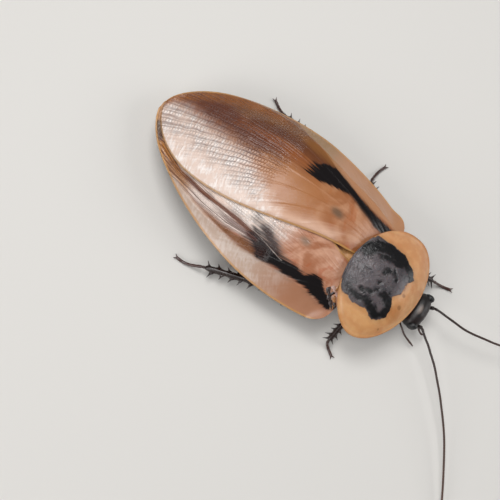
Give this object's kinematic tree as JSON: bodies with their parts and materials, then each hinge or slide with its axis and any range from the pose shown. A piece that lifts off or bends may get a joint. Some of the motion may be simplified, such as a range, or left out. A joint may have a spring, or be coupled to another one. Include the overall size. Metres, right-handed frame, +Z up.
{
  "type": "giant cockroach model",
  "caption": "Life-size still model of a winged giant cockroach: amber shield with a black patch, folded tan wings, spiny dark legs and curved feelers.",
  "frame": {"origin": "bottom centre of the box around the whole model, on the floor the six feet stand on", "axes": "+Y towards the wing tips, -Y towards the head, +X the animal's left side, +Z up"},
  "size_m": [0.0654, 0.1278, 0.0148],
  "materials": {
    "amber_shell": "translucent amber horn, satin",
    "wing_membrane": "thin horny membrane with a pearly sheen",
    "folded_hind_wing": "thin smoky membrane",
    "belly_plates": "polished red-brown plates",
    "dark_cuticle": "glossy brown-black",
    "foot_red_brown": "satin red-brown",
    "eye_black": "glossy, finely faceted",
    "feeler_brown": "finely ringed, satin"
  },
  "bodies": {
    "root": {"pronotum": "amber_shell", "tegmen_left": "wing_membrane", "tegmen_right": "wing_membrane", "hind_wing_left": "folded_hind_wing", "hind_wing_right": "folded_hind_wing", "prothorax": "belly_plates", "thorax": "belly_plates", "abdomen": "belly_plates", "head": "dark_cuticle", "cercus_left": "dark_cuticle", "cercus_right": "dark_cuticle", "coxa_front_left": "dark_cuticle", "coxa_front_right": "dark_cuticle", "coxa_middle_left": "dark_cuticle", "coxa_middle_right": "dark_cuticle", "coxa_hind_left": "dark_cuticle", "coxa_hind_right": "dark_cuticle", "femur_front_left": "dark_cuticle", "femur_front_right": "dark_cuticle", "femur_middle_left": "dark_cuticle", "femur_middle_right": "dark_cuticle", "femur_hind_left": "dark_cuticle", "femur_hind_right": "dark_cuticle", "tibia_front_left": "dark_cuticle", "tibia_front_right": "dark_cuticle", "tibia_middle_left": "dark_cuticle", "tibia_middle_right": "dark_cuticle", "tibia_hind_left": "dark_cuticle", "tibia_hind_right": "dark_cuticle", "tarsus_front_left": "foot_red_brown", "tarsus_front_right": "foot_red_brown", "tarsus_middle_left": "foot_red_brown", "tarsus_middle_right": "foot_red_brown", "tarsus_hind_left": "foot_red_brown", "tarsus_hind_right": "foot_red_brown", "eye_left": "eye_black", "eye_right": "eye_black", "antenna_left": "feeler_brown", "antenna_right": "feeler_brown", "maxillary_palp_left": "feeler_brown", "maxillary_palp_right": "feeler_brown", "labial_palp_left": "feeler_brown", "labial_palp_right": "feeler_brown"}
  },
  "joints": []
}
